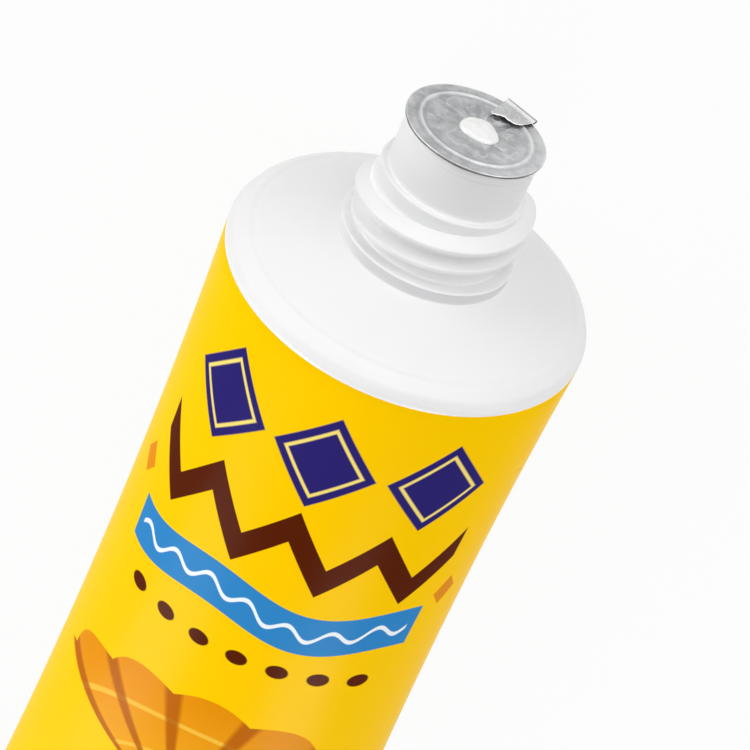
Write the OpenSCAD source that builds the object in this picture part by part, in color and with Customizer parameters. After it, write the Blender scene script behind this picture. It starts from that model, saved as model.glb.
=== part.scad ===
// Squeeze tube for sunscreen lotion, cap taken off, mouth still closed by its foil seal.
// The tube lies on its back: printed side up (+Z), neck towards -Y, tail towards +Y.
// Its soft belly lies on the surface all along, so the sleeve narrows from its printed side.
// Each piece is drawn upright first, with the neck up, the printed side towards -Y and
// height 0 where the round end of the sleeve meets the head. lay() then puts it down.

/* [Sleeve] */
// Outside diameter of the sleeve at its round end
sleeve_d = 28; // [24:0.5:35]
// Length of the sleeve from its round end to the start of the crimp
sleeve_len = 112; // [80:1:150]
// Wall thickness of the sleeve
sleeve_wall = 0.5; // [0.35:0.05:0.8]
// How far along the sleeve it stays full, higher is fuller
taper_start = 1.6; // [1.4:0.1:3]
// How blunt the tail is where it meets the crimp, lower is blunter
taper_blunt = 0.6; // [0.55:0.05:0.95]
// Flat sides that stand in for the curve around the sleeve
sleeve_sides = 48; // [32:4:64]
// Rings of points along the sleeve
sleeve_rings = 20; // [12:1:28]

/* [Crimp] */
// Length of the flat sealed band at the tail
crimp_len = 6; // [4:0.5:12]
// Number of pressed ribs on each face of the crimp
crimp_ribs = 5; // [0:1:8]
// Distance from one rib to the next
crimp_rib_pitch = 0.8; // [0.6:0.05:1]
// Width of each rib
crimp_rib_w = 0.4; // [0.2:0.05:0.5]
// Height of each rib
crimp_rib_h = 0.12; // [0.05:0.01:0.2]

/* [Shoulder] */
// Radius of the rounded edge where the head meets the sleeve
shoulder_r = 1.6; // [1:0.1:2.4]
// Depth of the crease inside the rounded edge
crease_depth = 0.15; // [0.05:0.05:0.4]
// Height of the top of the cone above the round end of the sleeve
cone_top = 3.5; // [3:0.05:5]
// Wall thickness of the head
head_wall = 1.1; // [0.8:0.1:1.4]
// Length of the skirt that the sleeve is welded round
skirt_len = 3; // [2:0.5:6]
// Gap between the skirt and the sleeve
skirt_gap = 0.02; // [0.01:0.01:0.05]

/* [Neck] */
// Diameter of the collar at the foot of the neck
collar_d = 13.2; // [12.8:0.1:16]
// Height of the collar
collar_h = 1; // [0.6:0.05:2]
// Diameter of the neck at the root of the thread
root_d = 11.2; // [10.9:0.1:12]
// Diameter of the neck wall above the thread
wall_d = 10.7; // [10.2:0.1:10.9]
// Diameter of the plain tip that the seal closes
tip_d = 9.8; // [9:0.1:10.1]
// Height of the neck from the collar to the ledge at the foot of the tip
neck_h = 5; // [5:0.1:8]
// Height of the tip from the ledge to the rim of the mouth
tip_h = 4.1; // [2:0.1:7]
// Diameter of the bore through the neck
bore_d = 8.1; // [5:0.1:8.2]

/* [Thread] */
// Outside diameter of the thread
thread_d = 12.9; // [12:0.1:13.2]
// Number of ridges that start evenly around the neck
thread_starts = 2; // [1:1:2]
// Rise of a ridge in one turn
thread_lead = 3.32; // [3:0.01:3.4]
// Number of turns of a ridge
thread_turns = 1.2; // [0.8:0.05:1.25]
// Direction in which the first ridge starts around the neck in degrees
thread_start = -41; // [-180:1:180]
// Gap between the collar and a ridge where it starts
thread_gap = 0.08; // [0.05:0.01:0.3]
// Height of the outer edge of the crest
crest_h = 0.42; // [0.3:0.01:0.46]
// Height of the slope from the crest up to the root
crest_slope = 0.58; // [0.3:0.01:0.6]

/* [Seal] */
// Diameter of the foil disc
foil_d = 10.3; // [9.9:0.05:10.6]
// Thickness of the foil
foil_t = 0.1; // [0.06:0.01:0.2]
// Thickness of the sealing film under the foil
film_t = 0.08; // [0.05:0.01:0.15]
// Width of the pressed ridge near the edge of the foil
ridge_w = 0.5; // [0.3:0.05:0.8]
// Height of the pressed ridge
ridge_h = 0.12; // [0.05:0.01:0.2]

/* [Pull tab] */
// Width of the pull tab along its fold
tab_w = 2.7; // [2:0.1:3.6]
// Length of the tab on its long side
tab_len = 2.6; // [2:0.1:3.2]
// Length of the tab on its short side
tab_short = 1.2; // [1:0.1:1.8]
// Radius inside the rounded fold
fold_r = 0.22; // [0.15:0.01:0.4]
// Upward slope of the folded tab over the foil in degrees
tab_slope = 6; // [0:1:12]
// Gap between the tab and the foil
tab_gap = 0.06; // [0.04:0.01:0.1]
// Direction of the tab around the neck in degrees
tab_turn = 63; // [0:1:360]

/* [Lotion] */
// Length of the air space between the lotion and the crimp
air_len = 16.5; // [5:0.5:40]
// Gap between the lotion and the walls in this model
fill_gap = 0.1; // [0.08:0.01:0.2]
// Width of the drop of lotion on the foil
dab_d = 2.7; // [1.5:0.1:4]
// Height of the drop
dab_h = 0.5; // [0.3:0.05:1]

/* [Hidden] */
$fn = 96;

// Overlap that makes two joined shapes one solid
weld = 0.02;
sleeve_r = sleeve_d / 2;
sleeve_bore_r = sleeve_r - sleeve_wall;
crimp_t = 2 * sleeve_wall;
tail_z = -sleeve_len - crimp_len;
// The skirt keeps this share of the sleeve round
round_share = skirt_len / sleeve_len;
collar_top = cone_top + collar_h;
ledge_z = collar_top + neck_h;
// The middle of a flat side lies nearer the axis than the sleeve's bore radius
skirt_r = sleeve_bore_r * cos(180 / sleeve_sides) - skirt_gap;
skirt_bore_r = skirt_r - head_wall;
film_z = ledge_z + tip_h;
foil_z = film_z + film_t;
foil_top = foil_z + foil_t;
ridge_r = bore_d / 2;

// The fold's axis lies this high above the foil and this far from the neck's axis
fold_outer_r = fold_r + foil_t;
fold_z = foil_top + tab_gap + fold_outer_r;
fold_x = foil_d / 2 - 0.1;
// The tab's highest point is the far end of its long side
tab_top = fold_z + fold_outer_r * cos(tab_slope) + tab_len * sin(tab_slope);
dab_top = foil_top + dab_h;
neck_end = max(tab_top, dab_top);
centre_y = (neck_end + tail_z) / 2;

// Half depth of the sleeve at a share t of the way from its round end to its crimp
function half_depth(t) =
    let (along = max(0, t - round_share) / (1 - round_share))
    crimp_t / 2 + (sleeve_r - crimp_t / 2) * pow(max(0, 1 - pow(along, taper_start)), taper_blunt);

// Half width of an ellipse of half depth b whose way around is that of a circle of radius r
function half_width(b, r) =
    let (p = 12 * r - 8 * b)
    (p + sqrt(p * p - 24 * (6 * b * b - 12 * r * b + 4 * r * r))) / 12;

// How far the middle sinks at half depth b, with the ribs of the crimp on the surface too
function sink(b) = (sleeve_r - b) * (1 - crimp_rib_h / (sleeve_r - crimp_t / 2));

// Share of the way at which the inside of the sleeve is still 2 * b deep
function share_at(b) =
    let (left = (b + sleeve_wall - crimp_t / 2) / (sleeve_r - crimp_t / 2))
    round_share + (1 - round_share) * pow(1 - pow(left, 1 / taper_blunt), 1 / taper_start);

// One ring of the sleeve at share t, drawn in from the outside by inset
function ring(t, inset) =
    let (b = half_depth(t), a = half_width(b, sleeve_r))
    [for (i = [0 : sleeve_sides - 1])
        let (angle = 360 * i / sleeve_sides)
        [(a - inset) * cos(angle), (b - inset) * sin(angle) + sink(b), -t * sleeve_len]];

// Shares of the rings from first to last, closer together near the tail
function shares(first, last) =
    [for (i = [0 : sleeve_rings]) last - (last - first) * pow(1 - i / sleeve_rings, 1.5)];

// A closed skin over rings that run from the round end towards the tail
module skin(rings) {
    sides = len(rings[0]);
    last = len(rings) - 1;
    points = [for (one = rings) each one];
    walls = [for (k = [0 : last - 1], i = [0 : sides - 1])
        let (j = (i + 1) % sides, a = k * sides, b = a + sides)
        each [[a + i, a + j, b + j], [a + i, b + j, b + i]]];
    top = [for (i = [1 : sides - 2]) [0, i + 1, i]];
    tail = [for (i = [1 : sides - 2]) [last * sides, last * sides + i, last * sides + i + 1]];
    polyhedron(points = points, faces = concat(top, walls, tail));
}

// Puts an upright piece down on its back
module lay() {
    translate([0, centre_y, sleeve_r])
        rotate([90, 180, 0])
            children();
}

// Printed soft sleeve, flattened towards the tail and sealed by the crimp
module sleeve() {
    inner_last = share_at(0.25);
    half = half_width(crimp_t / 2, sleeve_r);
    crimp_y = sink(crimp_t / 2);
    color("#f5b41c")
    lay() {
        difference() {
            union() {
                skin(concat([ring(0, 0)], [for (t = shares(round_share, 1)) ring(t, 0)]));
                translate([-half, crimp_y - crimp_t / 2, tail_z])
                    cube([2 * half, crimp_t, crimp_len + weld]);
                translate([0, crimp_y, 0])
                    crimp_rib_rows(half);
            }
            skin(concat(
                [[for (p = ring(0, sleeve_wall)) p + [0, 0, 1]]],
                [for (t = shares(round_share, inner_last)) ring(t, sleeve_wall)]
            ));
        }
    }
}

// Ribs that the sealing jaws press across both faces of the crimp
module crimp_rib_rows(half) {
    first = tail_z + (crimp_len - (crimp_ribs - 1) * crimp_rib_pitch) / 2;
    if (crimp_ribs > 0)
        for (i = [0 : crimp_ribs - 1])
            translate([0, 0, first + i * crimp_rib_pitch])
                cube([2 * half, crimp_t + 2 * crimp_rib_h, crimp_rib_w], center = true);
}

// Half outline of the head: skirt, rounded edge, cone, collar, neck and bored tip
module head_outline() {
    crease_r = sleeve_r - shoulder_r;
    edge = [for (i = [0 : 8])
        [crease_r + shoulder_r * cos(i * 90 / 8), shoulder_r * sin(i * 90 / 8)]];
    inner_cone = cone_top - head_wall;
    polygon(concat(
        [[skirt_bore_r, -skirt_len], [skirt_r, -skirt_len], [skirt_r, 0], [sleeve_r, 0]],
        edge,
        [[crease_r - crease_depth, shoulder_r - crease_depth]],
        [[collar_d / 2, cone_top], [collar_d / 2, collar_top - 0.15]],
        [[collar_d / 2 - 0.15, collar_top], [root_d / 2, collar_top]],
        [[root_d / 2, ledge_z - 1.4], [wall_d / 2, ledge_z - 1.1], [wall_d / 2, ledge_z - 0.1]],
        [[wall_d / 2 - 0.1, ledge_z], [tip_d / 2, ledge_z], [tip_d / 2, film_z]],
        [[bore_d / 2, film_z], [bore_d / 2, inner_cone], [skirt_bore_r, shoulder_r - head_wall]]
    ));
}

// Right-hand ridge that starts just above the collar and fades out at both ends
module thread_ridge(start) {
    steps_a_turn = 30;
    steps = ceil(thread_turns * steps_a_turn);
    fade = 3;
    inner = wall_d / 2 - 0.2;
    height = (thread_d - root_d) / 2;
    thread_z = collar_top + thread_gap;
    points = [for (i = [0 : steps])
        let (grow = min(1, i / fade, (steps - i) / fade),
             angle = start + 360 * i / steps_a_turn,
             z = thread_z + thread_lead * i / steps_a_turn,
             crest = root_d / 2 - 0.1 + (height + 0.1) * grow)
        each [for (p = [[inner, 0], [crest, 0], [crest, crest_h], [inner, crest_h + crest_slope * grow]])
            [p[0] * cos(angle), p[0] * sin(angle), z + p[1]]]];
    walls = [for (k = [0 : steps - 1], i = [0 : 3])
        let (j = (i + 1) % 4, a = 4 * k, b = a + 4)
        each [[a + i, a + j, b + j], [a + i, b + j, b + i]]];
    end = 4 * steps;
    polyhedron(
        points = points,
        faces = concat([[0, 2, 1], [0, 3, 2]], walls, [[end, end + 1, end + 2], [end, end + 2, end + 3]])
    );
}

// Thread with its ridges spread evenly around the neck
module thread() {
    for (k = [0 : thread_starts - 1])
        thread_ridge(thread_start + 360 * k / thread_starts);
}

// Moulded head with its threaded neck and the bore that the lotion leaves by
module head() {
    color("#f4f4f2")
    lay()
        union() {
            rotate_extrude()
                head_outline();
            thread();
        }
}

// Film that holds the foil to the rim of the mouth
module sealing_film() {
    color("#8d8f94")
    lay()
        translate([0, 0, film_z])
            cylinder(d = tip_d, h = film_t);
}

// Foil disc with the ridge that the rim has pressed into it
module foil_seal() {
    color("#c9cbce")
    lay()
        translate([0, 0, foil_z])
            rotate_extrude()
                polygon([
                    [0, 0],
                    [foil_d / 2, 0],
                    [foil_d / 2, foil_t],
                    [ridge_r + ridge_w / 2, foil_t],
                    [ridge_r, foil_t + ridge_h],
                    [ridge_r - ridge_w / 2, foil_t],
                    [0, foil_t]
                ]);
}

// Pull tab, folded back over the foil at the rim
module pull_tab() {
    color("#d4d6d9")
    lay()
        rotate([0, 0, tab_turn])
            translate([fold_x, 0, fold_z]) {
                rotate([90, 0, 0])
                    translate([0, 0, -tab_w / 2])
                        rotate_extrude(angle = 180 - tab_slope, start = -90)
                            translate([fold_r, 0])
                                square([foil_t, tab_w]);
                rotate([0, tab_slope, 0])
                    translate([0, 0, fold_r])
                        linear_extrude(height = foil_t)
                            polygon([
                                [0, -tab_w / 2],
                                [0, tab_w / 2],
                                [-tab_len * 0.8, tab_w / 2],
                                [-tab_len, tab_w * 0.3],
                                [-tab_short, -tab_w * 0.4],
                                [-tab_short * 0.6, -tab_w / 2]
                            ]);
            }
}

// Lotion inside the sleeve, the head and the neck
module lotion_fill() {
    inset = sleeve_wall + fill_gap;
    start_z = -skirt_len - fill_gap;
    fill_len = sleeve_len - air_len;
    neck_r = bore_d / 2 - fill_gap;
    skirt_fill_r = skirt_bore_r - fill_gap;
    color("#fbf6e6")
    lay()
        union() {
            skin([for (t = shares(-start_z / sleeve_len, fill_len / sleeve_len)) ring(t, inset)]);
            rotate_extrude()
                polygon([
                    [0, start_z - 1],
                    [skirt_fill_r, start_z - 1],
                    [skirt_fill_r, shoulder_r - head_wall - fill_gap],
                    [neck_r, cone_top - head_wall - fill_gap],
                    [neck_r, film_z - fill_gap],
                    [0, film_z - fill_gap]
                ]);
        }
}

// Drop of lotion that lies on the middle of the foil
module lotion_drop() {
    dome_r = (dab_d * dab_d / 4 + dab_h * dab_h) / (2 * dab_h);
    color("#ffffff")
    lay()
        translate([0, 0, foil_top])
            intersection() {
                translate([0, 0, dab_h - dome_r])
                    sphere(r = dome_r);
                cylinder(d = dab_d * 1.2, h = dab_h * 1.2);
            }
}

sleeve();
head();
sealing_film();
foil_seal();
pull_tab();
lotion_fill();
lotion_drop();
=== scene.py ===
"""Looks of the squeeze tube: printed sleeve, moulded head, foil seal, pull tab and lotion.

Each piece is drawn upright in millimetres, as in the part's source: x to the right in the
photograph, y away from the viewer, z out of the neck, and z 0 at the round end of the sleeve.
lay() turns such points into the shared frame, in metres.
"""
import math

import bpy
import numpy as np
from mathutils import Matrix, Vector, noise


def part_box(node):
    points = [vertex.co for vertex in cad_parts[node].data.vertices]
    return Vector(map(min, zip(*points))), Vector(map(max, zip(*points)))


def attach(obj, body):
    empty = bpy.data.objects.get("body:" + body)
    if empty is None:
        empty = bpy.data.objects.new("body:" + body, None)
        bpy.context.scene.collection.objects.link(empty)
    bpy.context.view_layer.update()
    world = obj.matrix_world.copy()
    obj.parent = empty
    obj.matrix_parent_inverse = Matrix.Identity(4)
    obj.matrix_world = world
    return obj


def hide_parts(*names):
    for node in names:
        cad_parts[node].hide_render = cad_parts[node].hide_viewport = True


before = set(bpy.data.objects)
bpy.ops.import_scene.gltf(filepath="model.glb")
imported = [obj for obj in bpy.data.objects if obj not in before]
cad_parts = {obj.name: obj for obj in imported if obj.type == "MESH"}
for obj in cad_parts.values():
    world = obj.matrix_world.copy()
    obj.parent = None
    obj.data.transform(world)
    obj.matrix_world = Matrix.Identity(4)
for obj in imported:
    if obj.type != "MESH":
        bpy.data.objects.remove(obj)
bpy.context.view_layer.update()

# Sizes in millimetres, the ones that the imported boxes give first, and directions in degrees
MM = 0.001
sleeve_low, sleeve_high = (np.array(corner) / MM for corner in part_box("sleeve"))
foil_low, foil_high = (np.array(corner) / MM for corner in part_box("foil_seal"))
film_low, film_high = (np.array(corner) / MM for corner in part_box("sealing_film"))
round_end_y = sleeve_low[1]
sleeve_r = (sleeve_high[2] - sleeve_low[2]) / 2
foil_r = (foil_high[0] - foil_low[0]) / 2
tip_r = (film_high[0] - film_low[0]) / 2
rim_z = round_end_y - film_high[1]
foil_z = round_end_y - film_low[1]
foil_top = foil_z + 0.1
crimp_len = 6.0
sleeve_len = sleeve_high[1] - sleeve_low[1] - crimp_len
sleeve_wall = 0.5
air_len = 16.5
taper_start = 1.6
taper_blunt = 0.6
rib_pitch = 0.8
rib_w = 0.4
rib_h = 0.12
rib_count = 5
skirt_len = 3.0
skirt_inner_r = 12.33
skirt_outer_r = 13.43
cone_top = 3.5
collar_r = 6.6
collar_top = 4.5
root_r = 5.6
wall_r = 5.35
ledge_z = 9.5
bore_r = 4.05
thread_r = 6.45
thread_lead = 3.32
thread_turns = 1.22
thread_start = -65.0
thread_low = 4.36
ring_r = 4.05
drop_x = 0.22
tab_turn = 63.0
tab_half = 1.38
tab_thick = 0.055
fold_x = foil_r - 0.1
roll_r = 0.10


def lay(points):
    """Upright points in millimetres as points of the shared frame in metres."""
    p = np.asarray(points, float)
    return np.stack([-p[..., 0], round_end_y - p[..., 2], sleeve_r - p[..., 1]], -1) * MM


def smooth(t):
    """0 below 0, 1 above 1, and a smooth step between."""
    t = np.clip(t, 0, 1)
    return t * t * (3 - 2 * t)


def once_round(columns):
    """Angles of the columns of points around the tube's axis, from the right."""
    return np.linspace(0, 2 * math.pi, columns, endpoint=False)


def ripples(x, y, scale, layer):
    """Smooth noise at each point, from about -1 to 1, with a pattern of its own in each layer."""
    return np.array([noise.noise(Vector((a * scale, b * scale, layer))) for a, b in zip(x, y)])


def add_mesh(name, points, faces, tone=None):
    """A smooth-shaded object from upright points in millimetres.

    tone is a number for each point, which the piece's material reads as a spot of painted shade or
    painted light.
    """
    mesh = bpy.data.meshes.new(name)
    mesh.from_pydata(lay(points).tolist(), [], faces)
    mesh.shade_smooth()
    if tone is not None:
        layer = mesh.attributes.new("tone", "FLOAT", "POINT")
        layer.data.foreach_set("value", np.asarray(tone, float).ravel())
    obj = bpy.data.objects.new(name, mesh)
    bpy.context.scene.collection.objects.link(obj)
    return obj


def grid_faces(rows, columns, first=0, closed_rows=False):
    """Quads over rows of points that each close on themselves."""
    faces = []
    for i in range(rows if closed_rows else rows - 1):
        a, b = first + i * columns, first + (i + 1) % rows * columns
        for j in range(columns):
            k = (j + 1) % columns
            faces.append((a + j, a + k, b + k, b + j))
    return faces


def skin_faces(rows, columns, first=0):
    """Quads over rows of points, with a face over each end: a closed skin that faces outward."""
    last = first + (rows - 1) * columns
    faces = [face[::-1] for face in grid_faces(rows, columns, first)]
    faces.append(tuple(range(first, first + columns)))
    faces.append(tuple(range(last, last + columns))[::-1])
    return faces


def revolve(outline, columns, wobble=None):
    """Rows of points from an outline of (radius, height), each row once round the axis."""
    outline = np.asarray(outline, float)
    turn = once_round(columns)
    r = np.repeat(outline[:, :1], columns, 1)
    z = np.repeat(outline[:, 1:2], columns, 1)
    if wobble is not None:
        r, z = wobble(r, z, turn[None])
    return np.stack([r * np.cos(turn), r * np.sin(turn), z], -1)


def rounded(corners, step=0.3, arc_points=5):
    """A closed outline through (radius, height, fillet) corners, with its sides cut into steps."""
    corners = np.asarray(corners, float)
    count = len(corners)
    arcs = []
    for i in range(count):
        before, here, after = corners[i - 1, :2], corners[i, :2], corners[(i + 1) % count, :2]
        to_before, to_after = before - here, after - here
        lengths = np.hypot(*to_before), np.hypot(*to_after)
        to_before, to_after = to_before / lengths[0], to_after / lengths[1]
        half = math.acos(np.clip(to_before @ to_after, -1, 1)) / 2
        reach = min(corners[i, 2] / max(math.tan(half), 0.05), 0.45 * min(lengths))
        ends = here + to_before * reach, here + to_after * reach
        t = np.linspace(0, 1, arc_points)[:, None]
        arcs.append((1 - t) ** 2 * ends[0] + 2 * t * (1 - t) * here + t ** 2 * ends[1])
    outline = []
    for i in range(count):
        outline += list(arcs[i])
        start, stop = arcs[i][-1], arcs[(i + 1) % count][0]
        pieces = max(1, math.ceil(np.hypot(*(stop - start)) / step))
        outline += [start + (stop - start) * k / pieces for k in range(1, pieces)]
    return np.array(outline)


class Wire:
    """A value in a shader, with the arithmetic that adds Math nodes."""

    def __init__(self, tree, socket):
        self.tree = tree
        self.socket = socket

    def math(self, kind, *others, clamp=False):
        """The outcome of a Math node, whose inputs are this value and the others."""
        node = self.tree.nodes.new("ShaderNodeMath")
        node.operation = kind
        node.use_clamp = clamp
        for slot, value in zip(node.inputs, (self,) + others):
            if isinstance(value, Wire):
                self.tree.links.new(value.socket, slot)
            else:
                slot.default_value = value
        return Wire(self.tree, node.outputs[0])

    def __add__(self, other):
        return self.math("ADD", other)

    def __sub__(self, other):
        return self.math("SUBTRACT", other)

    def __mul__(self, other):
        return self.math("MULTIPLY", other)

    def __truediv__(self, other):
        return self.math("DIVIDE", other)

    def size(self):
        """The value without its sign."""
        return self.math("ABSOLUTE")

    def capped(self):
        """The value, or 1 where it is more."""
        return self.math("MINIMUM", 1.0)

    def wave(self, period):
        """Sine of the value, with a full turn in each period."""
        return (self * (2 * math.pi / period)).math("SINE")

    def off_grid(self, pitch):
        """How far the value lies from the nearest multiple of the pitch."""
        return self - (self / pitch + 0.5).math("FLOOR") * pitch

    def distance(self, other):
        """Length of the line to a point that lies this far and the other value away."""
        return (self * self + other * other).math("SQRT")

    def below(self, edge, soft=0.06):
        """1 where the value is below the edge and 0 above it."""
        start = self * -1 + edge if not isinstance(edge, Wire) else edge - self
        return (start / (2 * soft) + 0.5).math("ADD", 0.0, clamp=True)

    def above(self, edge, soft=0.06):
        """1 where the value is above the edge and 0 below it."""
        return self.below(edge, soft) * -1 + 1

    def near(self, middle, reach, soft=0.06):
        """1 where the value is within reach of the middle and 0 elsewhere."""
        return (self - middle).size().below(reach, soft)


class Look:
    """A material and the nodes that feed its main shader.

    Settings of the shader have _ for the spaces in their names.
    """

    def __init__(self, name, **settings):
        self.material = bpy.data.materials.new(name)
        self.material.use_nodes = True
        self.tree = self.material.node_tree
        self.shader = self.tree.nodes["Principled BSDF"]
        for key, value in settings.items():
            self.shader.inputs[key.replace("_", " ")].default_value = value

    def node(self, kind, **settings):
        made = self.tree.nodes.new(kind)
        for key, value in settings.items():
            setattr(made, key, value)
        return made

    def link(self, start, end):
        self.tree.links.new(start.socket if isinstance(start, Wire) else start, end)

    def place(self):
        """The point on the piece in metres, as the mesh has it."""
        return self.node("ShaderNodeTexCoord").outputs["Object"]

    def parts_of(self, vector):
        """The three numbers of a vector."""
        split = self.node("ShaderNodeSeparateXYZ")
        self.link(vector, split.inputs[0])
        return [Wire(self.tree, socket) for socket in split.outputs]

    def tone(self):
        """The number that the mesh has for the point, which stands for painted shade or light."""
        read = self.node("ShaderNodeAttribute", attribute_name="tone")
        return Wire(self.tree, read.outputs["Fac"])

    def noise(self, scale, detail=3.0, stretch=(1, 1, 1), rough=0.5):
        """Smooth noise from 0 to 1, with scale waves in each metre."""
        stretched = self.node("ShaderNodeMapping")
        stretched.inputs["Scale"].default_value = stretch
        self.link(self.place(), stretched.inputs["Vector"])
        made = self.node("ShaderNodeTexNoise")
        made.inputs["Scale"].default_value = scale
        made.inputs["Detail"].default_value = detail
        made.inputs["Roughness"].default_value = rough
        self.link(stretched.outputs["Vector"], made.inputs["Vector"])
        return Wire(self.tree, made.outputs["Fac"])

    def mix(self, share, first, second):
        """A colour between two others, each a colour or an earlier mix."""
        made = self.node("ShaderNodeMix", data_type="RGBA")
        for slot, value in ((0, share), (6, first), (7, second)):
            if isinstance(value, Wire):
                self.link(value, made.inputs[slot])
            else:
                made.inputs[slot].default_value = value
        return Wire(self.tree, made.outputs[2])

    def span(self, wire, low, high):
        """Moves a value between 0 and 1 to between low and high."""
        return wire * (high - low) + low

    def bump(self, height, distance):
        """Dents and bumps of the height times the distance in metres."""
        made = self.node("ShaderNodeBump")
        made.inputs["Distance"].default_value = distance
        made.inputs["Strength"].default_value = 1.0
        self.link(height, made.inputs["Height"])
        self.link(made.outputs["Normal"], self.shader.inputs["Normal"])

    def feed(self, name, value):
        """Links a value or a colour to an input of the main shader."""
        self.link(value, self.shader.inputs[name])


def paint(red, green, blue):
    """A colour given as it looks on screen, 0 to 255, as the shader wants it."""
    def linear(c):
        c /= 255
        return c / 12.92 if c <= 0.04045 else ((c + 0.055) / 1.055) ** 2.4
    return (linear(red), linear(green), linear(blue), 1.0)


def finish_piece(obj, look, body, slot, *nodes):
    """Gives a piece its material and its body, and hides the solids that it stands for; slot is not
    used.
    """
    obj.data.materials.append(look.material)
    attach(obj, body)
    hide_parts(*nodes)


# Camera at the photograph's viewing point, rolled as the photograph is
camera_data = bpy.data.cameras.new("camera")
camera_data.lens = 78.72
camera_data.sensor_width = 36.0
camera_data.clip_start = 0.005
camera_data.clip_end = 20.0
camera = bpy.data.objects.new("camera", camera_data)
camera.location = (-0.000683, -0.122428, 0.11183)
camera.rotation_euler = [math.radians(a) for a in (-36.783, 15.365, -160.485)]
bpy.context.scene.collection.objects.link(camera)
bpy.context.scene.camera = camera


# Sleeve
def half_depth(s):
    """Half depth of the sleeve s millimetres from its round end."""
    along = np.clip((s - skirt_len) / (sleeve_len - skirt_len), 0, 1)
    return sleeve_wall + (sleeve_r - sleeve_wall) * (1 - along ** taper_start) ** taper_blunt


def half_width(b):
    """Half width of an ellipse of half depth b that is as long around as the round end."""
    p = 12 * sleeve_r - 8 * b
    return (p + np.sqrt(p * p - 24 * (6 * b * b - 12 * sleeve_r * b + 4 * sleeve_r ** 2))) / 12


def belly_drop(b):
    """How far a row of half depth b moves down, so that the belly lies flat on the surface."""
    return (sleeve_r - b) * (1 - rib_h / (sleeve_r - sleeve_wall))


def crimp_ribs(s):
    """Height of the ribs at s millimetres from the round end."""
    if s <= sleeve_len:
        return 0.0
    first = sleeve_len + (crimp_len - (rib_count - 1) * rib_pitch) / 2
    centres = first + rib_pitch * np.arange(rib_count)
    gap = np.abs(s - centres).min()
    return rib_h * float(smooth((rib_w / 2 + 0.05 - gap) / 0.1))


def folds(s, turn):
    """How far soft folds draw the sleeve's wall in, at s from its round end."""
    near_crimp = smooth((s - 50) / 50) * smooth((sleeve_len - 0.5 - s) / 14)
    near_head = smooth((s - 6) / 30)
    depth = np.zeros(len(turn))
    for j, angle in enumerate(turn):
        up = max(0.0, -math.sin(angle)) ** 0.5
        spot = Vector((math.cos(angle) * 2.3 * (1 + s / 400), math.sin(angle) * 2.3, s / 60))
        crease = max(0.0, noise.noise(spot * 1.9)) ** 1.3
        slow = 0.5 + 0.5 * noise.noise(spot * 0.8 + Vector((4, 7, 2)))
        depth[j] = up * (near_crimp * 1.1 * crease + near_head * 0.10 * slow)
    return depth


def sleeve_stations():
    """Distances from the round end at which the outside of the sleeve has a row of points."""
    end = sleeve_len + crimp_len
    long_part = sleeve_len * (1 - (1 - np.linspace(0, 1, 110)) ** 1.5)
    crimp_part = np.arange(sleeve_len + 0.12, end - 0.06, 0.1)
    both_edges = [0, 0.02, 0.06, end - 0.05, end]
    return np.sort(np.concatenate([both_edges, long_part[1:], crimp_part]))


def outer_row(s, turn):
    """Points once around the outside of the sleeve, s millimetres from its round end.

    The row is an ellipse that squares off towards the flat crimp, and the rows at both ends are
    a little smaller, for soft edges.
    """
    b = float(half_depth(s))
    a = float(half_width(b))
    square = 2 + 10 * float(smooth((s - sleeve_len + 5) / 5)) ** 2
    round_off = 0.05 * (s < 0.01) + 0.012 * (0.01 < s < 0.03)
    round_off += 0.05 * (s > sleeve_len + crimp_len - 0.01)
    draw = folds(s, turn)
    wide = a - round_off - draw
    deep = b + crimp_ribs(s) - round_off - draw * b / sleeve_r
    x = wide * np.sign(np.cos(turn)) * np.abs(np.cos(turn)) ** (2 / square)
    y = deep * np.sign(np.sin(turn)) * np.abs(np.sin(turn)) ** (2 / square)
    return np.stack([x, y + belly_drop(b), np.full(len(turn), -s)], -1)


def inner_row(s, turn):
    """Points once around the inside of the sleeve, s millimetres from its round end."""
    b = float(half_depth(s))
    room_for_folds = 1.2 * (s > 40)
    wide = float(half_width(b)) - sleeve_wall - room_for_folds
    deep = max(b - sleeve_wall - 0.02, 0.1)
    x, y = wide * np.cos(turn), deep * np.sin(turn) + belly_drop(b)
    return np.stack([x, y, np.full(len(turn), -s - 0.001)], -1)


def print_places(row):
    """Distances along a row from the middle of the printed side, with the first point twice."""
    step = np.hypot(*(np.roll(row, -1, 0) - row)[:, :2].T)
    whole = np.concatenate([[0], np.cumsum(step)])
    return whole - whole[-1] / 2


def build_sleeve():
    """The printed wall and its crimp, as one closed skin with its printing coordinates."""
    around = 256
    turn = math.pi / 2 + once_round(around)
    outer_stations = sleeve_stations()
    inner_stations = [0.0, skirt_len] + list(np.linspace(10, sleeve_len - 0.8, 24))
    outer = [outer_row(s, turn) for s in outer_stations]
    inner = [inner_row(s, turn) for s in inner_stations]
    rows = inner[::-1] + outer
    obj = add_mesh("printed_sleeve", np.concatenate(rows), skin_faces(len(rows), around))

    # Printing coordinates in millimetres: across the sleeve, and down from its round end
    unprinted = np.zeros((len(inner), around + 1))
    across = np.concatenate([unprinted, [print_places(row) for row in outer]])
    along = np.concatenate([unprinted[:, 0], outer_stations])
    corners = np.zeros((len(obj.data.loops), 2))
    for face in obj.data.polygons:
        if len(face.vertices) != 4:
            continue
        columns = [v % around for v in face.vertices]
        on_seam = max(columns) - min(columns) > 1
        for loop, v, column in zip(face.loop_indices, face.vertices, columns):
            row = v // around
            corners[loop] = across[row, around if on_seam and column == 0 else column], along[row]
    obj.data.uv_layers.new(name="print").data.foreach_set("uv", corners.ravel())
    return obj


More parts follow.
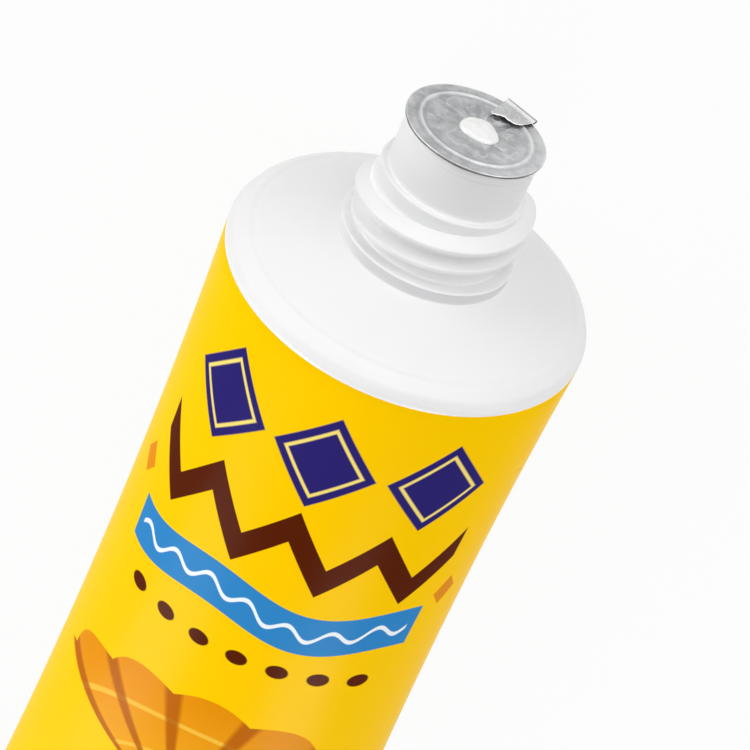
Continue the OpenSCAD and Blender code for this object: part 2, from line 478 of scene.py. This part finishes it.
def print_look():
    """Glossy yellow printing with plain shapes in navy, brown, blue and orange."""
    look = Look("printed_gloss_plastic", IOR=1.04)
    across, down, _ = look.parts_of(look.node("ShaderNodeUVMap", uv_map="print").outputs["UV"])
    yellow, navy, brown = paint(255, 204, 2), paint(44, 36, 110), paint(86, 30, 6)
    blue, orange, pale = paint(49, 133, 197), paint(227, 139, 3), paint(250, 224, 120)
    diamond_pitch = 8.8
    dot_pitch = 3.5
    shell_hinge = 61.5
    back_middle = 44
    back_pitch = 7
    middle = across.size()

    # Three diamonds below the print's edge, each with a fine line inside
    diamond = across.off_grid(diamond_pitch).size() / 4.0 + (down - 7.6).size() / 4.7
    in_row = middle.below(13.2)
    diamonds = diamond.below(1.0, 0.02) * in_row
    fine_line = diamond.near(0.74, 0.045, 0.02) * in_row

    # Zigzag, a wavy ribbon with a line in it, and a row of dots
    zigzag = (across.math("PINGPONG", 3.5) - 1.75) * 1.5 + 17.4
    zigzags = down.near(zigzag, 1.75) * middle.below(13.9)
    ribbon = down - across.wave(16.0) * 0.8 - 26.2
    ribbons = ribbon.size().below(2.6) * middle.below(13.4)
    ripple = ribbon.near(across.wave(3.6) * 0.75, 0.28) * middle.below(12.6)
    dots = across.off_grid(dot_pitch).distance(down - 32.8).below(0.95) * middle.below(12.2)

    # A fan-shaped shell, drawn from its hinge, and two small diamonds
    up = down * -1 + shell_hinge
    reach = across.distance(up)
    angle = across.math("ARCTAN2", up)
    lobes = angle * 8.5
    edge = lobes.math("COSINE").size() * 1.6 + 19.5
    shell = reach.below(edge, 0.08) * angle.size().below(0.97, 0.01) * reach.above(1.5)
    rib = lobes.math("SINE").size().above(0.93, 0.04)
    bands = reach.near(15.2, 0.35) + reach.near(9.0, 0.28)
    ears = middle.near(3.2, 2.2) * down.near(61.3, 1.5)
    sparks = ((middle - 15.2).size() / 1.2 + (down - 21.8).size() / 1.9).below(1.0, 0.03)

    # On the back, small diamonds in a column between two lines
    back = (middle - back_middle).size()
    back_diamond = (back / 2.0 + down.off_grid(back_pitch).size() / 2.6).below(1.0, 0.03)
    back_diamonds = back_diamond * down.above(8) * down.below(98)
    side_lines = back.near(14, 0.3) * down.above(4) * down.below(104)

    ground = look.mix(look.span(look.noise(90, 2), 0.0, 0.5), yellow, paint(254, 198, 2))
    ground = look.mix(diamonds + back_diamonds, ground, navy)
    ground = look.mix(fine_line, ground, pale)
    ground = look.mix(zigzags + dots + side_lines, ground, brown)
    ground = look.mix(ribbons, ground, blue)
    ground = look.mix(ripple * ribbons, ground, paint(238, 245, 250))
    shaded = look.mix((reach / 23).capped(), paint(243, 176, 40), orange)
    shaded = look.mix(bands.capped() * 0.8, shaded, paint(246, 196, 70))
    shaded = look.mix(rib * 0.85, shaded, paint(178, 88, 8))
    ground = look.mix((shell + ears).capped(), ground, shaded)
    ground = look.mix(sparks, ground, orange)
    unprinted = down.above(sleeve_len - 2.0, 0.08)
    look.feed("Base Color", look.mix(unprinted, ground, paint(252, 202, 6)))
    look.feed("Roughness", look.span(look.noise(700, 3), 0.25, 0.34))
    inked = (diamonds + zigzags + ribbons + dots + shell).capped()
    look.bump(look.noise(260, 3) * 0.55 + look.noise(1500, 2) * 0.12 + inked * 0.08, 0.00003)
    return look


# Head
def shaded_side(angle):
    """1 on the side of the neck that lies in shade in the photograph, 0 on its bright left side."""
    return smooth((np.cos(angle + math.radians(60)) + 0.15) / 0.75)


def head_skin(around):
    """Points, faces and tones of the shoulder, collar, neck, tip and bore, revolved as one skin."""
    outline = rounded([
        (skirt_inner_r, -skirt_len, 0.1),
        (skirt_outer_r, -skirt_len, 0.1),
        (skirt_outer_r, -0.02, 0.02),
        (sleeve_r - 0.03, -0.02, 0.05),
        (sleeve_r, 0.32, 0.3),
        (sleeve_r - 0.38, 0.98, 0.9),
        (sleeve_r - 1.3, 1.6, 0.9),
        (sleeve_r - 1.66, 1.66, 0.05),
        (sleeve_r - 2.1, 1.83, 0.5),
        (collar_r - 0.1, cone_top, 0.16),
        (collar_r, collar_top, 0.14),
        (root_r, collar_top + 0.02, 0.14),
        (root_r, ledge_z - 1.4, 0.2),
        (wall_r, ledge_z - 1.2, 0.2),
        (wall_r, ledge_z, 0.12),
        (tip_r, ledge_z + 0.02, 0.1),
        (tip_r, rim_z - 0.78, 0.06),
        (tip_r + 0.04, rim_z - 0.7, 0.06),
        (tip_r + 0.04, rim_z, 0.08),
        (bore_r, rim_z, 0.1),
        (bore_r, 2.4, 0.4),
        (skirt_inner_r, 0.5, 0.4),
    ], 0.28)
    r, z = outline.T
    # Painted shade on the collar's wall, heavier on the neck's shaded side, and painted light on
    # the collar's top and the root of the neck on the bright side
    painted_collar_shade = (np.abs(r - collar_r) < 0.3) * (z > cone_top) * (z < collar_top - 0.15)
    painted_groove_light = (r > root_r - 0.05) * (r < collar_r - 0.1) * (z > collar_top - 0.05) * (z < ledge_z)
    side = shaded_side(once_round(around))
    tone = np.outer(0.7 * painted_collar_shade, 0.25 + 0.75 * side) - np.outer(painted_groove_light, 1 - side)
    points = revolve(outline, around).reshape(-1, 3)
    return points, grid_faces(len(outline), around, closed_rows=True), tone.ravel()


# Section of a ridge as (radius, height): from inside the neck, out over the crest and back inside
ridge_section = np.array([
    (wall_r - 0.2, 0.0), (root_r - 0.05, 0.0), (root_r + 0.02, 0.04), (root_r + 0.1, 0.08),
    (root_r + 0.2, 0.1), (thread_r - 0.2, 0.04), (thread_r - 0.06, 0.005),
    (thread_r - 0.015, 0.02), (thread_r, 0.06), (thread_r, 0.12), (thread_r, 0.3),
    (thread_r - 0.01, 0.36), (thread_r - 0.04, 0.4), (thread_r - 0.1, 0.44),
    (thread_r - 0.2, 0.48), (thread_r - 0.5, 0.62), (root_r + 0.15, 0.75),
    (root_r + 0.04, 0.82), (root_r - 0.06, 0.9), (wall_r - 0.05, 1.0), (wall_r - 0.2, 1.02),
])
# Points of the section on the ridge's underside, which get painted shade
shade_painted_under_ridge = np.arange(len(ridge_section)) < 7


def wind_ridge(start, turns_long, fade, steps_a_turn):
    """Rows of points and their tones of painted shade, for a ridge that grows at its start and
    fades at its end.

    start is in degrees, fade in turns.
    """
    radius, height = ridge_section.T
    sunk = wall_r - 0.15
    steps = round(turns_long * steps_a_turn)
    rows, tones = [], []
    for i in range(steps + 1):
        turns = i / steps_a_turn
        grow = float(smooth(turns / 0.32) * smooth((steps - i) / (fade * steps_a_turn)))
        grow = 0.03 + 0.97 * grow
        angle = math.radians(start) + 2 * math.pi * turns
        r = np.where(radius > sunk, sunk + (radius - sunk) * grow, radius)
        rise = np.where(height > 0.4, 0.4 + (height - 0.4) * grow, height)
        z = thread_low + thread_lead * turns + rise
        rows.append(np.stack([r * math.cos(angle), r * math.sin(angle), z], -1))
        # Painted shade on the ridge's underside, heavier on the neck's shaded side
        tones.append(0.85 * shade_painted_under_ridge * (0.2 + 0.8 * shaded_side(angle)))
    return rows, tones


def build_head():
    """The moulded head and the two ridges of its thread. A tone of 1 is painted shade, and -1
    painted light.
    """
    around = 240
    points, faces, tone = head_skin(around)
    for start, turns_long, fade in (
        (thread_start, thread_turns + 0.1, 0.08),
        (thread_start + 180, thread_turns, 0.2),
    ):
        rows, tones = wind_ridge(start, turns_long, fade, around)
        faces += skin_faces(len(rows), len(ridge_section), len(points))
        points = np.concatenate([points] + rows)
        tone = np.concatenate([tone] + tones)
    return add_mesh("moulded_head", points, faces, tone)


def white_look():
    """Smooth white polyethylene that lets a little light in."""
    look = Look("moulded_white_plastic", IOR=1.28, Subsurface_Weight=0.06,
                Subsurface_Radius=(0.9, 0.85, 0.8), Subsurface_Scale=0.0005)
    mottle = look.span(look.noise(180, 3), 0.0, 0.6)
    tint = look.mix(mottle, paint(240, 240, 240), paint(234, 234, 235))
    tone = look.tone()
    # Painted shade where the tone is above 0, painted light where it is below
    tint = look.mix(tone.math("MAXIMUM", 0.0), tint, paint(206, 206, 208))
    tint = look.mix((tone * -1).math("MAXIMUM", 0.0), tint, paint(254, 254, 254))
    look.feed("Base Color", tint)
    look.feed("Roughness", look.span(look.noise(900, 3), 0.28, 0.42))
    look.bump(look.noise(420, 3) * 0.5 + look.noise(2600, 2) * 0.15, 0.00003)
    return look


# Foil seal
rng = np.random.default_rng(11)
creases = [
    (
        rng.uniform(0, 2 * math.pi),  # direction
        rng.uniform(1.1, 2.6),  # radius where it starts
        rng.uniform(2.9, 3.9),  # radius where it stops
        rng.uniform(0.07, 0.2),  # width
        rng.choice([-1, 1]) * rng.uniform(0.35, 1.0),  # height
        rng.uniform(-0.7, 0.7),  # bend
    )
    for _ in range(30)
]


def foil_creases(x, y):
    """Soft radial creases in the foil, from -1 for a fold down to 1 for a fold up."""
    r = np.hypot(x, y)
    turn = np.arctan2(y, x)
    total = np.zeros_like(r)
    for angle, start, stop, width, height, bend in creases:
        off = (turn - angle - bend * (r - start) / 3 + math.pi) % (2 * math.pi) - math.pi
        length = smooth((r - start) / 0.5) * smooth((stop - r) / 0.5)
        total += height * length * np.exp(-(off * r / width) ** 2)
    return np.clip(total, -1, 1)


def build_foil():
    """The sealing disc with its pressed ring, its creases and its cut edge."""
    around = 300
    turn = once_round(around)
    edge = foil_r - 0.025 + 0.025 * ripples(np.cos(turn), np.sin(turn), 3, 1.7)
    top, bottom, tone = [], [], []
    for share in np.concatenate([np.linspace(0.03, 0.97, 84), [0.985, 0.995, 1.0]]):
        r = edge * share
        x, y = r * np.cos(turn), r * np.sin(turn)
        crease = foil_creases(x, y)
        soft = ripples(x, y, 1.1, 3.1)
        fold = np.abs(ripples(x, y, 0.8, 6.2))
        inside = smooth((ring_r - 0.2 - r) / 0.5)
        wrinkle = smooth((0.11 - fold) / 0.1) * smooth((soft + 0.25) / 0.4) * inside
        h = 0.11 * np.exp(-((r - ring_r) / 0.17) ** 2) - 0.03 * smooth((ring_r - 0.1 - r) / 1.2)
        h += 0.034 * crease + 0.03 * wrinkle + 0.03 * soft * float(smooth(4.3 - 5.15 * share))
        z = np.maximum(foil_top + h - 0.03 * (share == 1.0), foil_z + 0.012)
        top.append(np.stack([x, y, z], -1))
        bottom.append(np.stack([x, y, np.maximum(z - 0.07, foil_z)], -1))
        # Tone: painted highlight on raised creases, wrinkles and dents, painted shade in sunken
        # creases
        tone.append(0.4 + 0.6 * crease + 0.6 * wrinkle + 0.4 * soft)
    rows = top + bottom[::-1]
    faces = skin_faces(len(rows), around)
    return add_mesh("foil_disc", np.concatenate(rows), faces, np.concatenate(tone + tone[::-1]))


def foil_look(name, rough, dark, light, patchy):
    """Rolled aluminium foil: fine lines from rolling, soft dents, random patches, and painted
    highlight and shade from the mesh's tone.

    A tone of 0 has the dark colour and 1 the light one, and patchy is how far they mix.
    """
    look = Look(name, Metallic=1.0)
    patches = look.noise(850, 5, rough=0.62)
    lines = look.noise(1500, 3, stretch=(1, 1, 14))
    grain = look.noise(4200, 3)
    # The mesh's tone is painted highlight and shade; the patches, rolling lines and grain are the
    # foil's own tone
    tone = look.tone() + (patches - 0.5) * patchy + (lines - 0.5) * 0.5 + (grain - 0.5) * 0.5
    look.feed("Base Color", look.mix(tone.math("ADD", 0.0, clamp=True), dark, light))
    look.feed("Roughness", look.span(look.noise(1100, 4), rough - 0.07, rough + 0.13))
    look.bump(look.noise(900, 4) + patches * 0.6 + lines * 0.12 + grain * 0.12, 0.00006)
    return look


def press_ring(look):
    """Adds painted light and shade to the foil: painted highlights on the pressed ring and round
    the rim, painted shade beside the ring, over the middle and on the outer band, a painted lighter
    right half, and painted shade on the cut edge.
    """
    side, _, up = look.parts_of(look.place())
    side = side / MM
    reach = side.distance(up / MM - sleeve_r)
    # Painted shade beside the ring, over the middle and on the outer band
    painted_shade = (reach - ring_r).size().near(0.3, 0.12, 0.1) * 0.35
    painted_shade = painted_shade + reach.below(3.7, 0.3) * 0.26 + reach.above(4.35, 0.3) * 0.1
    # Painted light over the right half
    painted_light_right = ((side * -1 - 1) / 5).math("MAXIMUM", 0.0) * 0.35
    # Painted highlights on the pressed ring and round the rim
    bright = reach.near(ring_r, 0.09, 0.07) * 0.6 + reach.above(foil_r - 0.13, 0.03) * 0.4
    # Painted shade on the cut edge
    cut = reach.above(foil_r - 0.035, 0.01)
    silver = paint(236, 236, 237)
    plain = Wire(look.tree, look.shader.inputs["Base Color"].links[0].from_socket)
    tint = look.mix(painted_shade, plain, paint(140, 141, 142))
    tint = look.mix(painted_light_right, tint, silver)
    tint = look.mix(bright.capped(), tint, silver)
    look.feed("Base Color", look.mix(cut, tint, paint(132, 131, 130)))


# Pull tab
def tab_length(w):
    """Reach of the tab from its fold, for w from -1 at its short side to 1 at its long side."""
    known = [-1.0, -0.95, -0.86, -0.7, -0.4, 0.0, 0.2, 0.4, 0.7, 1.0]
    reach = [0.6, 1.1, 1.6, 1.88, 2.08, 2.24, 2.4, 2.58, 2.7, 2.66]
    return float(np.interp(w, known, reach)) + 0.025 * math.sin(w * 19)


def tab_row(w):
    """Centre line of the tab at w across it, as (x, y, z, angle of its outside) and a tone each,
    which is painted shade or highlight.
    """
    y = tab_half * w
    length = tab_length(w)
    roll_x, roll_z = fold_x + 0.08, foil_top + 0.2
    line = [(roll_x - 0.17, y, roll_z - 0.165, -1.2), (roll_x - 0.08, y, roll_z - 0.115, -1.4)]
    tone = [0.3, 0.3]
    # Painted shade on the roll of the fold
    for angle in np.radians(np.linspace(-90, 86, 19)):
        x, z = roll_x + roll_r * math.cos(angle), roll_z + roll_r * math.sin(angle)
        line.append((x, y, z, angle))
        tone.append(0.06)
    for t in np.linspace(0, 1, 34)[1:]:
        out = t * length
        lift = -0.10 * float(smooth(t * 1.5)) + 0.05 * math.sin(w * 4.2 + 0.8) * t + 0.07 * t ** 3
        narrow = 0.53 * max(w, 0.0) * t
        line.append((roll_x - out, y - narrow, roll_z + roll_r + lift, math.pi / 2))
        # Painted shade beside the fold, a painted highlight band beyond it, and a painted highlight
        # along the free edge
        rim = float(smooth((0.1 - (1 - t) * length) / 0.06))
        band = float(smooth((out - 0.06) / 0.16) * smooth((0.66 - out) / 0.3))
        tone.append(0.06 + 0.36 * float(smooth(out / 0.3)) + 0.58 * band + 0.5 * rim)
    return line, tone


def plate_faces(wide, long):
    """Faces of a plate: a grid of wide by long points, and the same grid again for its back."""
    count = wide * long
    faces = []
    for i in range(wide - 1):
        for j in range(long - 1):
            a = i * long + j
            faces.append((a, a + long, a + long + 1, a + 1))
            faces.append((count + a, count + a + 1, count + a + long + 1, count + a + long))
    border = [i * long for i in range(wide)]
    border += [(wide - 1) * long + j for j in range(1, long)]
    border += [i * long + long - 1 for i in range(wide - 2, -1, -1)]
    border += list(range(long - 2, 0, -1))
    for a, b in zip(border, border[1:] + border[:1]):
        faces.append((a, count + a, count + b, b))
    return faces


def build_tab():
    """The tongue of foil, curled over its fold and cut in a wave at its free end."""
    ways = np.sin(np.linspace(-math.pi / 2, math.pi / 2, 49))
    lines, tones = zip(*(tab_row(w) for w in ways))
    line = np.array(lines)
    angle = line[..., 3]
    outward = np.stack([np.cos(angle), np.zeros(angle.shape), np.sin(angle)], -1) * tab_thick / 2
    points = np.concatenate([line[..., :3] + outward, line[..., :3] - outward]).reshape(-1, 3)
    turn = math.radians(tab_turn)
    x, y = points[:, 0].copy(), points[:, 1].copy()
    points[:, 0] = x * math.cos(turn) - y * math.sin(turn)
    points[:, 1] = x * math.sin(turn) + y * math.cos(turn)
    return add_mesh("pull_tab_foil", points, plate_faces(*angle.shape), np.array(tones + tones))


# Lotion
def build_drop():
    """The drop on the foil: a soft dome with an uneven outline and a wet, wavy top."""
    around = 96
    turn = once_round(around)
    outline = 1.42 + 0.07 * np.cos(2 * turn + 0.9) + 0.05 * np.cos(3 * turn + 2.1)
    outline += 0.03 * np.cos(5 * turn)
    rows = []
    for share in np.sin(np.linspace(0.03, math.pi / 2, 30)):
        r = outline * share
        x, y = drop_x + r * np.cos(turn), r * np.sin(turn)
        dome = 0.42 * math.sqrt(max(0.0, 1 - share ** 2.6))
        brim = 0.05 * math.exp(-((share - 0.86) / 0.1) ** 2)
        z = foil_top - 0.1 + dome + 0.07 * ripples(x, y, 1.7, 9.3) * (1 - share ** 4) + brim
        rows.append(np.stack([x, y, z], -1))
    base = rows[-1].copy()
    base[:, 2] = foil_top - 0.12
    rows.append(base)
    return add_mesh("lotion_dab", np.concatenate(rows), skin_faces(len(rows), around))


def build_fill():
    """The lotion in the tube, with the uneven face that shows in the mouth when the seal is off."""
    around = 96
    turn = math.pi / 2 + once_round(around)
    flat = np.ones(around)
    neck_r = bore_r - 0.1
    rows = []
    for share in np.linspace(0.04, 1, 22):
        r = neck_r * share
        x, y = r * np.cos(turn), r * np.sin(turn)
        uneven = 0.12 * ripples(x, y, 0.9, 5.5) * (1 - share ** 4) + 0.1 * share ** 6
        swirl = 0.10 * np.cos(2 * turn + r * 1.6) * share * (1 - share ** 3)
        rows.append(np.stack([x, y, rim_z - 0.32 + uneven + swirl], -1))
    for r, z in ((neck_r, 8.0), (neck_r, 2.3), (8.0, 1.3), (12.2, 0.4), (12.2, -skirt_len - 0.1)):
        rows.append(np.stack([r * np.cos(turn), r * np.sin(turn), flat * z], -1))
    for s in np.linspace(skirt_len + 0.2, sleeve_len - air_len, 30):
        b = float(half_depth(s))
        inset = sleeve_wall + 0.12 + 1.2 * float(smooth((s - 6) / 30))
        x = (float(half_width(b)) - inset) * np.cos(turn)
        y = (b - inset) * np.sin(turn) + belly_drop(b)
        rows.append(np.stack([x, y, flat * -s], -1))
    return add_mesh("lotion_body", np.concatenate(rows), skin_faces(len(rows), around))


def lotion_look():
    """Thick white cream, wet on top."""
    look = Look("lotion_cream", IOR=1.42, Coat_Weight=0.5, Coat_Roughness=0.06,
                Subsurface_Weight=0.3, Subsurface_Radius=(0.9, 0.85, 0.75), Subsurface_Scale=0.0008)
    tint = look.mix(look.noise(600, 2), paint(245, 245, 243), paint(238, 238, 236))
    look.feed("Base Color", tint)
    look.feed("Roughness", look.span(look.noise(1500, 2), 0.16, 0.3))
    look.bump(look.noise(1100, 3), 0.00006)
    return look


# Sealing film
def build_film():
    """The film between rim and foil, with an edge that has crept out a little here and there."""
    around = 192
    height = foil_z - rim_z - 0.005
    # The film reaches out to just inside the foil's edge, where its dark grey shows partly as
    # painted shadow under the foil
    inner_r, outer_r = bore_r - 0.3, foil_r - 0.05
    outline = rounded([
        (inner_r, 0.0, 0.02),
        (tip_r + 0.02, 0.0, 0.02),
        (outer_r, -0.02, 0.02),
        (outer_r, height, 0.02),
        (inner_r, height, 0.02),
    ])

    def wobble(r, z, turn):
        ripple = 0.018 * np.sin(turn * 7) + 0.014 * np.sin(turn * 3 + 1) + 0.008 * np.sin(turn * 19)
        return r + ripple * (r > tip_r + 0.1), z + rim_z

    points = revolve(outline, around, wobble).reshape(-1, 3)
    return add_mesh("film_disc", points, grid_faces(len(outline), around, closed_rows=True))


def film_look():
    """Matt grey film; where it shows under the foil's edge, its dark grey is partly painted shadow
    of the gap there.
    """
    look = Look("sealing_film", Roughness=0.45, IOR=1.5)
    look.feed("Base Color", look.mix(look.noise(1200, 3), paint(84, 82, 82), paint(124, 121, 120)))
    look.bump(look.noise(1800, 2), 0.00003)
    return look


white = white_look()
foil = foil_look("foil_aluminium", 0.38, paint(168, 169, 170), paint(216, 217, 218), 2.1)
press_ring(foil)
tab_foil = foil_look("tab_aluminium", 0.3, paint(156, 157, 158), paint(240, 240, 241), 1.0)
lotion = lotion_look()
finish_piece(build_sleeve(), print_look(), "tube", "printed_sleeve", "sleeve")
finish_piece(build_head(), white, "tube", "white_plastic", "head")
finish_piece(build_fill(), lotion, "tube", "lotion", "lotion_fill")
finish_piece(build_film(), film_look(), "seal", "sealing_film", "sealing_film")
finish_piece(build_foil(), foil, "seal", "foil", "foil_seal")
finish_piece(build_drop(), lotion, "seal", "lotion", "lotion_drop")
finish_piece(build_tab(), tab_foil, "tab", "foil", "pull_tab")


# Stage and light
def seen_white(tree):
    """1 for rays from the camera, from gloss and through glass, which see a white stage."""
    path = tree.nodes.new("ShaderNodeLightPath")
    total = Wire(tree, path.outputs["Is Camera Ray"]) + Wire(tree, path.outputs["Is Glossy Ray"])
    return (total + Wire(tree, path.outputs["Is Transmission Ray"])).capped()


def build_floor():
    """The surface that the tube lies on: white to the eye, with the tube's shadow on it."""
    half = 1.5
    white_share = 0.955
    grey = 0.55
    mesh = bpy.data.meshes.new("floor")
    corners = [(-half, -half, 0), (half, -half, 0), (half, half, 0), (-half, half, 0)]
    mesh.from_pydata(corners, [], [(0, 1, 2, 3)])
    floor = bpy.data.objects.new("floor", mesh)
    bpy.context.scene.collection.objects.link(floor)
    look = Look("floor_white", Roughness=0.7)
    look.shader.inputs["Base Color"].default_value = (grey, grey, grey, 1)
    glow = look.node("ShaderNodeEmission")
    both = look.node("ShaderNodeMixShader")
    look.link(seen_white(look.tree) * white_share, both.inputs[0])
    look.link(look.shader.outputs[0], both.inputs[1])
    look.link(glow.outputs[0], both.inputs[2])
    look.link(both.outputs[0], look.tree.nodes["Material Output"].inputs["Surface"])
    mesh.materials.append(look.material)


def add_lamp(name, place, aim, size, power):
    """A round panel of light, with its size in metres and its power in watts."""
    data = bpy.data.lights.new(name, "AREA")
    data.shape = "DISK"
    data.size = size
    data.energy = power
    lamp = bpy.data.objects.new(name, data)
    lamp.location = place
    lamp.rotation_mode = "QUATERNION"
    lamp.rotation_quaternion = (Vector(aim) - Vector(place)).to_track_quat("-Z", "Y")
    bpy.context.scene.collection.objects.link(lamp)


def build_light():
    """A white world, dimmer as a light than it looks, and panels on all sides of the tube."""
    dim = 0.16
    neck = (0, -0.055, 0.014)
    middle = (0, 0.01, 0.02)
    world = bpy.data.worlds.new("studio")
    world.use_nodes = True
    background = world.node_tree.nodes["Background"]
    background.inputs["Color"].default_value = (1, 1, 1, 1)
    strength = seen_white(world.node_tree) * (1 - dim) + dim
    world.node_tree.links.new(strength.socket, background.inputs["Strength"])
    bpy.context.scene.world = world
    add_lamp("left_panel", (0.51, -0.307, 0.206), neck, 0.6, 2.3)
    add_lamp("right_panel", (-0.51, -0.307, 0.206), neck, 0.6, 1.35)
    add_lamp("top_panel", (-0.16, -0.607, 0.116), neck, 0.5, 1.2)
    add_lamp("tail_left_panel", (0.3, 0.55, 0.25), middle, 0.3, 2.7)
    add_lamp("tail_right_panel", (-0.29, 0.6, 0.25), middle, 0.25, 2.2)
    add_lamp("high_panel", (0.05, -0.2, 0.55), neck, 0.5, 0.89)


build_floor()
build_light()
bpy.context.scene.view_settings.view_transform = "Standard"
